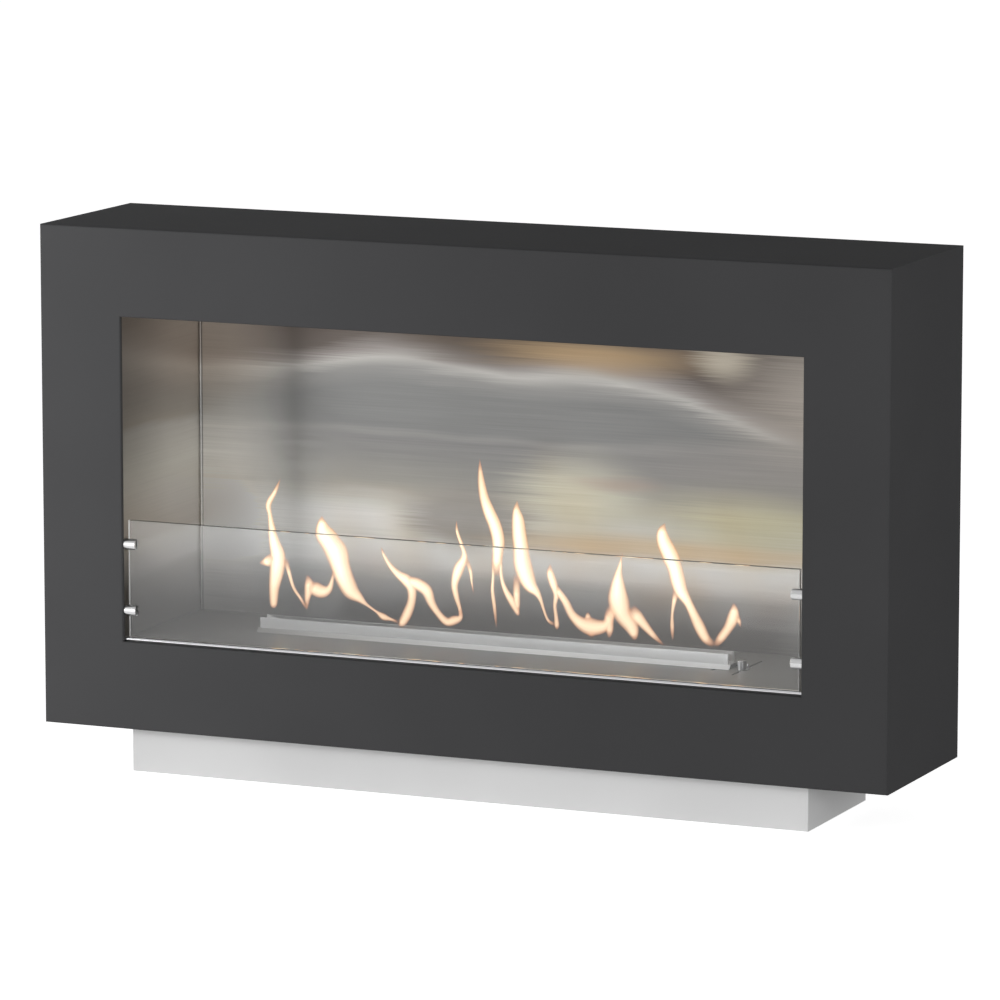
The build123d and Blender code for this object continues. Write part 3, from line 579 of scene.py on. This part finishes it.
# Flames. Each is made of tongues: points from root to tip or from tip to root, as
# x, height above the lips and half the width, all in millimetres.
flames = {
    "flame_far_left": [
        [(-324, 196, 0.6), (-333, 176, 3.4), (-343, 158, 4.6), (-341, 143, 3.6), (-338, 125, 5.6),
         (-333, 104, 9), (-328, 86, 12), (-330, 64, 11.5), (-334, 41, 8.5), (-335, 18, 6),
         (-335, 11, 2.3)],
        [(-328, 83, 12), (-345, 77, 7.5), (-357, 74, 1)],
        [(-317, 84, 4.6), (-311, 64, 3.4), (-304, 43, 2.8), (-293, 28, 2.5), (-284, 14, 2.3)],
        [(-284, 12, 1.5), (-283, 29, 4.6), (-280, 48, 7.7), (-283, 63, 2.3)],
        [(-279, 50, 7.7), (-271, 44, 10.7), (-260, 41, 10), (-250, 45, 6), (-245, 57, 3),
         (-242, 73, 2.3)],
    ],
    "flame_left": [
        [(-261, 147, 0.8), (-261, 137, 7.4), (-258, 124, 14), (-247, 110, 16), (-238, 97, 18),
         (-232, 78, 15.3), (-225, 60, 14.5), (-216, 45, 13), (-204, 36, 7.6), (-192, 27, 2.7),
         (-177, 18, 2.3), (-167, 12, 5.3), (-155, 9, 2.4), (-144, 6, 3)],
    ],
    "flame_left_hook": [
        [(-170, 110, 0.6), (-166, 99, 2.4), (-156, 84, 3.9), (-144, 73, 6), (-131, 65, 9),
         (-124, 54, 7.6), (-124, 37, 6.8), (-131, 18, 7.6), (-139, 5, 6), (-145, 4, 1.5)],
        [(-136, 67, 4.5), (-125, 64, 7.6), (-114, 61, 9), (-101, 53, 9), (-94, 37, 6.8),
         (-84, 23, 5.4), (-71, 12, 6.3), (-59, 15, 6.8), (-50, 20, 3.9), (-51, 34, 2.7)],
    ],
    "flame_left_of_middle": [
        [(-50, 18, 3), (-51, 31, 3), (-56, 47, 4.5), (-59, 65, 5.7), (-53, 86, 8.3),
         (-45, 101, 6), (-45, 112, 3.6), (-51, 125, 3), (-56, 139, 2.4), (-57, 154, 0.5)],
        [(-42, 103, 3.8), (-35, 85, 3), (-33, 69, 1.8), (-30, 53, 0.6)],
    ],
    "flame_tallest": [
        [(-22, 242, 0.6), (-21, 224, 3.6), (-19, 206, 6), (-15, 187, 7.5), (-8, 169, 9.3),
         (0, 152, 10), (5, 135, 10), (6, 118, 9), (5, 101, 7.5), (4, 80, 4.5)],
        [(-1, 114, 3.3), (-1, 83, 2.4), (-2, 60, 3), (1, 37, 3), (4, 8, 1.2)],
        [(10, 121, 3.7), (10, 97, 3), (12, 77, 3), (18, 61, 4.5), (28, 46, 6), (35, 33, 3.9),
         (37, 27, 1.2)],
    ],
    "flame_right_of_middle": [
        [(34, 188, 0.6), (33, 174, 5.7), (35, 161, 9.5), (37, 140, 11.3), (40, 120, 12),
         (43, 100, 14), (49, 82, 13), (55, 71, 10.4), (64, 62, 6), (70, 52, 3.3),
         (75, 38, 2.4), (81, 25, 2.2), (91, 19, 3.6)],
        [(34, 86, 5.4), (34, 58, 5.4), (35, 42, 4.5), (36, 29, 1.2)],
    ],
    "flame_right_sweep": [
        [(84, 104, 0.7), (84, 91, 5.6), (88, 78, 6.5), (93, 62, 4.7), (91, 46, 3), (93, 30, 3.3),
         (94, 19, 3.9), (94, 12, 1.2)],
        [(89, 75, 4.4), (97, 65, 5.2), (107, 52, 6), (116, 36, 6.8), (129, 25, 9.6), (143, 21, 13.3),
         (156, 21, 11), (168, 26, 8), (175, 41, 6), (180, 58, 6)],
        [(141, 25, 7.4), (140, 35, 4.4), (140, 41, 1.2)],
        [(144, 17, 9), (146, 5, 3)],
    ],
    "flame_right": [
        [(190, 126, 0.4), (188, 112, 2.5), (185, 96, 6.2), (184, 78, 11.8), (185, 60, 16), (191, 42, 14),
         (203, 27, 11.7), (208, 15, 7.3), (209, 6, 2.2)],
        [(175, 52, 6.6), (171, 34, 7.4), (172, 18, 6), (171, 6, 1.5)],
        [(202, 51, 8.8), (212, 40, 9.5), (222, 30, 7.3), (236, 16, 4.7), (253, 2, 1.5)],
    ],
    "flame_far_right": [
        [(252, 171, 0.7), (248, 159, 7.6), (250, 146, 10.8), (259, 128, 12.4), (267, 111, 11.4),
         (272, 93, 11.4), (277, 79, 10), (287, 64, 7), (295, 49, 7.3), (304, 32, 8.7), (313, 17, 7.3),
         (326, 8, 4.6)],
        [(270, 81, 5.8), (267, 66, 3.8), (264, 47, 2.3), (264, 29, 3.2), (265, 10, 1.5)],
    ],
    "flame_right_end": [
        [(353, 69, 1.2), (354, 58, 6.7), (352, 47, 9), (345, 33, 7.2), (335, 19, 6.5), (326, 7, 3.8)],
        [(356, 52, 5.8), (361, 44, 3.5), (364, 35, 0.6)],
    ],
}

# A tongue's cross-section: its points, its depth for its width, and its least half width.
# flame_steps is the number of rings from one point of its line to the next.
flame_ring = 16
flame_flatness = 0.35
thinnest_half_width = 0.3
flame_steps = 6

# How hot a flame is at a height above the lips, in millimetres: peach below, white in the middle
heat_heights = [0, 40, 70, 110, 170, 250]
heat_levels = [0.55, 0.62, 0.9, 1.0, 0.95, 0.6]

# A tongue is at full heat from this half width in millimetres, and thinner ones are cooler.
# Every tongue fades out over a few steps at its ends.
full_heat_width = 9.0
thin_heat = 0.6
flame_fade_steps = 6


def smooth_line(points, steps):
    """A smooth line through given points, with as many steps between each two."""
    rows = np.array(points, float)
    padded = np.vstack([2 * rows[0] - rows[1], rows, 2 * rows[-1] - rows[-2]])
    line = []
    for index in range(1, len(padded) - 2):
        before, start, end, after = padded[index - 1:index + 3]
        for step in range(steps):
            t = step / steps
            pull = (end - before) * t
            bend = (2 * before - 5 * start + 4 * end - after) * t ** 2
            swing = (3 * start - before - 3 * end + after) * t ** 3
            line.append(start + (pull + bend + swing) / 2)
    line.append(rows[-1])
    return np.array(line)


def add_tongue(points, vertices, faces, heats):
    """Add one closed, flattened tongue to a flame's lists."""
    line = smooth_line(points, flame_steps)
    slopes = np.gradient(line[:, :2], axis=0)
    places = np.arange(len(line))
    fades = np.clip(np.minimum(places, places[::-1]) / flame_fade_steps, 0.0, 1.0)
    first = len(vertices)
    for (x, height, half_width), (run, rise), fade in zip(line, slopes, fades):
        half_width = max(half_width, thinnest_half_width)
        length = math.hypot(run, rise) or 1.0
        side_x, side_z = rise / length, -run / length
        width_heat = min(1.0, thin_heat + (1 - thin_heat) * half_width / full_heat_width)
        body = width_heat * np.interp(height, heat_heights, heat_levels)
        for index in range(flame_ring):
            angle = 2 * math.pi * index / flame_ring
            aside = half_width * math.cos(angle)
            depth = half_width * flame_flatness * math.sin(angle)
            vertices.append((
                (x + aside * side_x) * mm,
                slot_middle_y + depth * mm,
                lip_high.z + (height + aside * side_z) * mm,
            ))
            heats.append(fade * body * math.sin(angle) ** 2)
    last = len(vertices) - flame_ring
    for low in range(first, last, flame_ring):
        for index in range(flame_ring):
            after = (index + 1) % flame_ring
            faces.append((low + index, low + after, low + flame_ring + after, low + flame_ring + index))
    faces.append(tuple(first + index for index in reversed(range(flame_ring))))
    faces.append(tuple(last + index for index in range(flame_ring)))


flame_finish = flame_material()
for name, tongues in flames.items():
    vertices, faces, heats = [], [], []
    for points in tongues:
        add_tongue(points, vertices, faces, heats)
    mesh = bpy.data.meshes.new(name)
    mesh.from_pydata(vertices, [], faces)
    mesh.attributes.new("flame_heat", "FLOAT", "POINT").data.foreach_set("value", heats)
    mesh.shade_smooth()
    mesh.materials.append(flame_finish)
    flame = bpy.data.objects.new(name, mesh)
    bpy.context.scene.collection.objects.link(flame)
    flame.visible_shadow = False
    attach(flame, "cabinet")


# Floor and surroundings
floor_half = 40.0
floor_glow = 0.82
horizon_level = 0.95
zenith_level = 0.0


def seen_directly(tree):
    """1 for rays from the camera, and for those mirrored or passed on by metal and glass."""
    path = add(tree, "LightPath")
    seen = path.outputs["Is Camera Ray"]
    for other in ("Is Glossy Ray", "Is Transmission Ray"):
        seen = add(tree, "Math", [seen, path.outputs[other]], operation="MAXIMUM").outputs[0]
    return seen


def build_floor():
    """A white floor that keeps the object's shadow and runs on into the white surroundings."""
    mesh = bpy.data.meshes.new("studio_floor")
    corners = [(x * floor_half, y * floor_half, 0.0) for x, y in ((-1, -1), (1, -1), (1, 1), (-1, 1))]
    mesh.from_pydata(corners, [], [(0, 1, 2, 3)])
    material, tree = new_material("white studio floor")
    paper = add(tree, "BsdfDiffuse", {"Color": "#f4f4f4"}).outputs[0]
    strength = add(tree, "Math", [seen_directly(tree), floor_glow], operation="MULTIPLY").outputs[0]
    glow = add(tree, "Emission", {"Strength": strength}).outputs[0]
    both = add(tree, "AddShader", [paper, glow])
    add(tree, "OutputMaterial", [both.outputs[0]])
    mesh.materials.append(material)
    floor = bpy.data.objects.new("studio_floor", mesh)
    bpy.context.scene.collection.objects.link(floor)


def build_surroundings():
    """White where the camera, metal or glass sees it, and a soft even light on the object."""
    world = bpy.data.worlds.new("studio")
    bpy.context.scene.world = world
    world.use_nodes = True
    tree = world.node_tree
    tree.nodes.clear()
    direction = add(tree, "TexCoord").outputs["Generated"]
    height = add(tree, "SeparateXYZ", [direction]).outputs[2]
    soft = add(tree, "MapRange", [height, 0.0, 1.0, horizon_level, zenith_level]).outputs[0]
    level = add(tree, "Mix", {0: seen_directly(tree), 2: soft, 3: 1.0}).outputs[0]
    background = add(tree, "Background", {"Strength": level})
    add(tree, "OutputWorld", [background.outputs[0]])


# Square soft lamps that face the cabinet: place, size and power
lamps = {
    "key_lamp": ((-2.6, -2.4, 0.8), 1.4, 54),
    "right_lamp": ((2.3, -2.0, 0.5), 1.0, 19),
}


def build_lamps():
    target = Vector((0, 0, (casing_low.z + casing_high.z) / 2))
    for name, (place, size, power) in lamps.items():
        data = bpy.data.lights.new(name, "AREA")
        data.size = size
        data.energy = power
        lamp = bpy.data.objects.new(name, data)
        lamp.location = place
        lamp.rotation_euler = (target - Vector(place)).to_track_quat("-Z", "Y").to_euler()
        bpy.context.scene.collection.objects.link(lamp)


def build_camera():
    data = bpy.data.cameras.new("photo_camera")
    data.lens = camera_lens
    data.sensor_width = camera_sensor
    camera = bpy.data.objects.new("photo_camera", data)
    camera.location = camera_place
    camera.rotation_euler = (math.radians(90) - camera_drop, 0, camera_turn)
    bpy.context.scene.collection.objects.link(camera)
    bpy.context.scene.camera = camera


build_floor()
build_surroundings()
build_lamps()
build_camera()

bpy.context.scene.view_settings.view_transform = "Standard"
